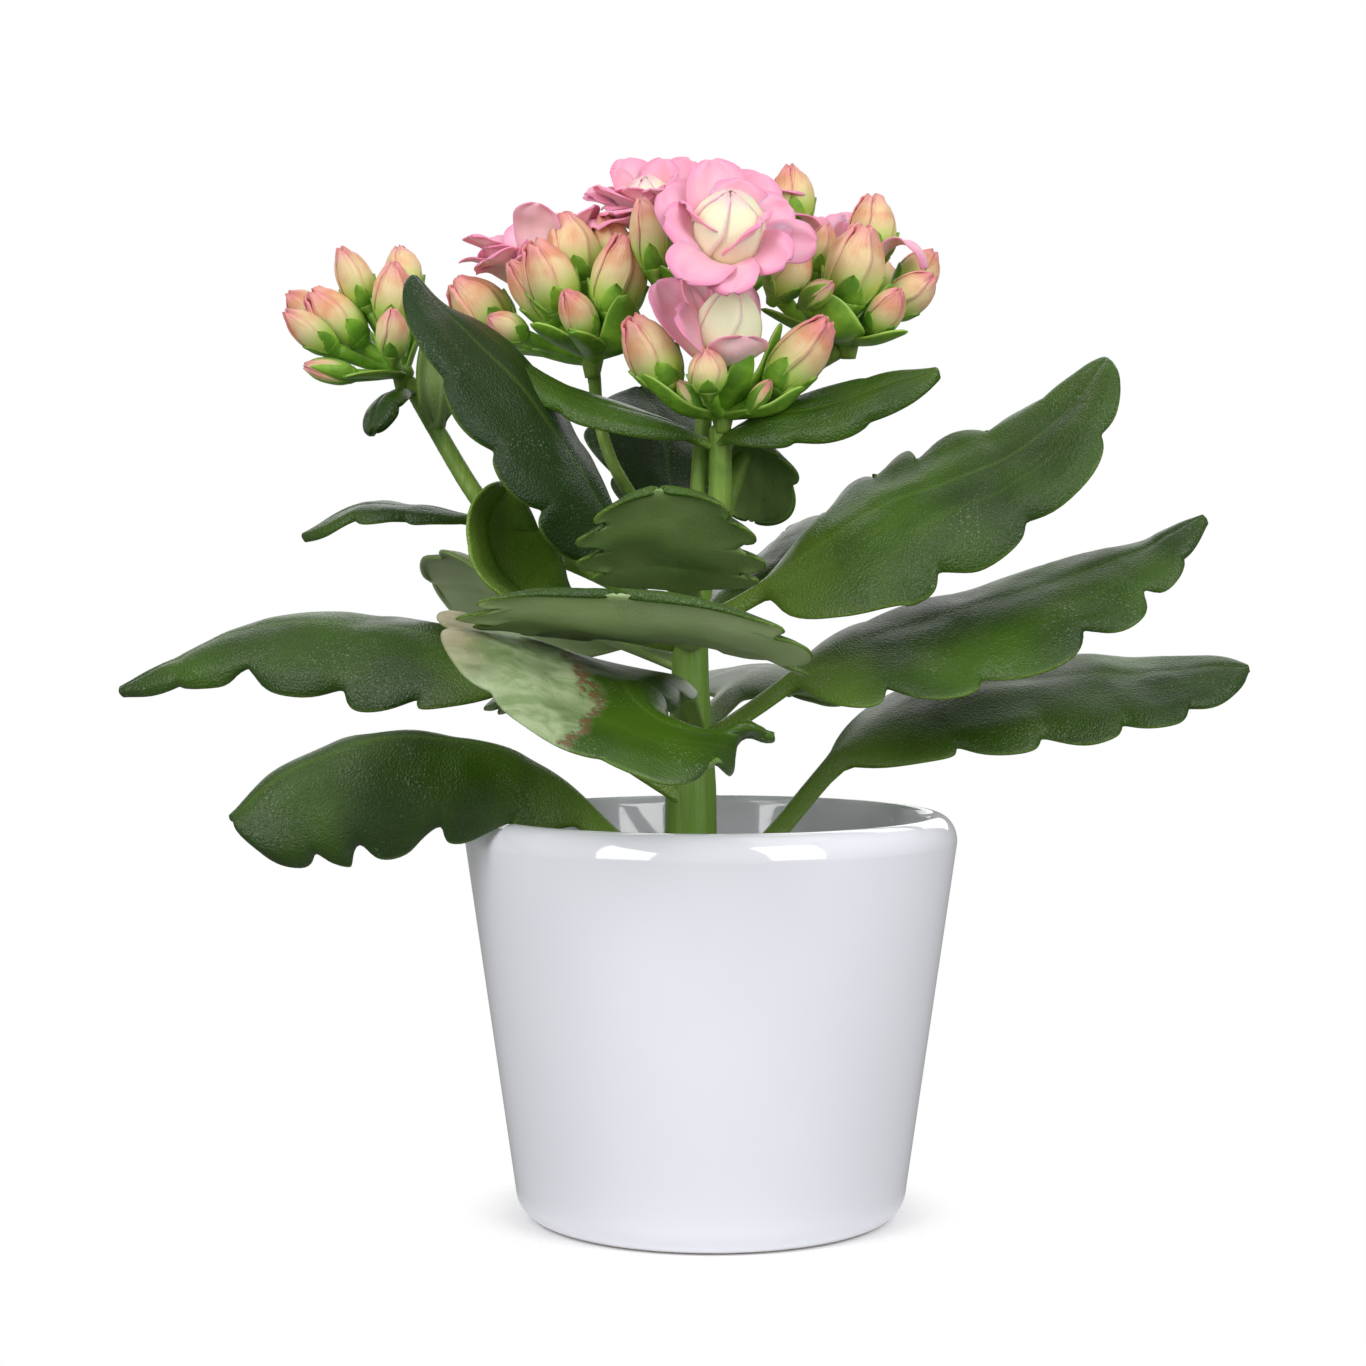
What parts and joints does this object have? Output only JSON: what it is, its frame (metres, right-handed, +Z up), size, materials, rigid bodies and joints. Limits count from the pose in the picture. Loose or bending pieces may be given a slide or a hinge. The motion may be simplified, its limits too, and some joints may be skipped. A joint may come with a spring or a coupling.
{
  "type": "potted kalanchoe",
  "caption": "Small double-flowered succulent with scalloped leaves and pink blooms, in a nursery pot inside a round glazed cover pot.",
  "frame": {"origin": "centre of the cover pot's flat underside", "axes": "+Z up along the cover pot's axis, -Y towards the plant's front, +X to the right seen from the front"},
  "size_m": [0.1837, 0.1231, 0.1696],
  "materials": {
    "cachepot": "glossy",
    "nursery_pot": "satin",
    "soil": "crumbly",
    "stem": "satin",
    "leaf": "waxy",
    "head": "waxy",
    "bloom": "satin"
  },
  "bodies": {
    "root": {"bloom_centre_left": "bloom", "bloom_front": "bloom", "bloom_main": "bloom", "bloom_right": "bloom", "bloom_top_left": "bloom", "cachepot": "cachepot", "head_centre_left": "head", "head_front": "head", "head_left": "head", "head_right": "head", "head_top": "head", "leaf_back_left": "leaf", "leaf_back_low": "leaf", "leaf_back_right": "leaf", "leaf_back_tall": "leaf", "leaf_back_wide": "leaf", "leaf_cupped_left": "leaf", "leaf_far_left": "leaf", "leaf_front_fan": "leaf", "leaf_front_high": "leaf", "leaf_front_low": "leaf", "leaf_low_left": "leaf", "leaf_low_right": "leaf", "leaf_middle_right": "leaf", "leaf_narrow_left": "leaf", "leaf_spray_back": "leaf", "leaf_spray_left": "leaf", "leaf_spray_right": "leaf", "leaf_stalk_lower": "leaf", "leaf_stalk_upper": "leaf", "leaf_tall_left": "leaf", "leaf_tall_right": "leaf", "nursery_pot": "nursery_pot", "soil": "soil", "stem": "stem"}
  },
  "joints": []
}
